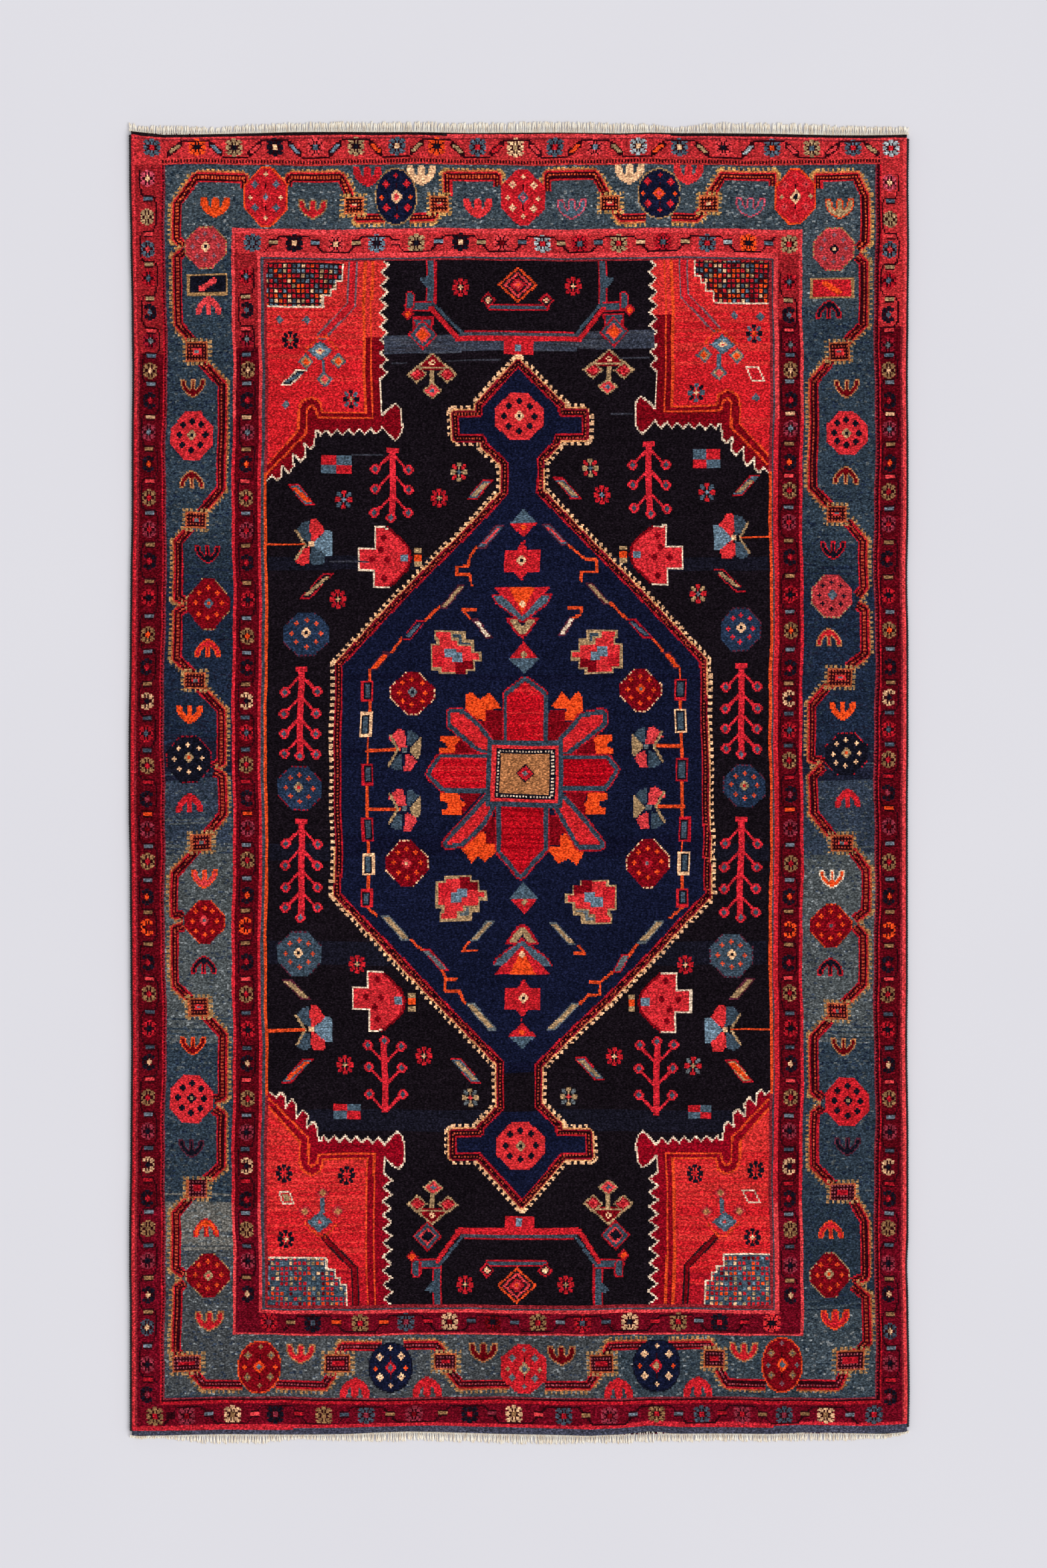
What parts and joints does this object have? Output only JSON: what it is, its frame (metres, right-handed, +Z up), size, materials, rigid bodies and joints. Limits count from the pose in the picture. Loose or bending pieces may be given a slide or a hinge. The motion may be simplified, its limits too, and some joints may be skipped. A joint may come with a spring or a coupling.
{
  "type": "persian rug",
  "caption": "Flat hand-knotted wool rug with a stepped medallion, bordered field, overcast side cords and short cotton fringes.",
  "frame": {"origin": "on the floor under the middle of the rug", "axes": "+X across the rug to the right, +Y along its length to the top end, +Z up out of the pile"},
  "size_m": [1.289, 2.184, 0.0108],
  "materials": {
    "knotted_wool": "cut wool pile, matt with a soft sheen",
    "overcast_wool": "near-black wool yarn wrapped tight over the edge warps",
    "cotton_warp": "undyed twisted cotton, matt"
  },
  "bodies": {
    "root": {"pile": "knotted_wool", "side_cord_left": "overcast_wool", "side_cord_right": "overcast_wool", "fringe_top": "cotton_warp", "fringe_bottom": "cotton_warp"}
  },
  "joints": []
}
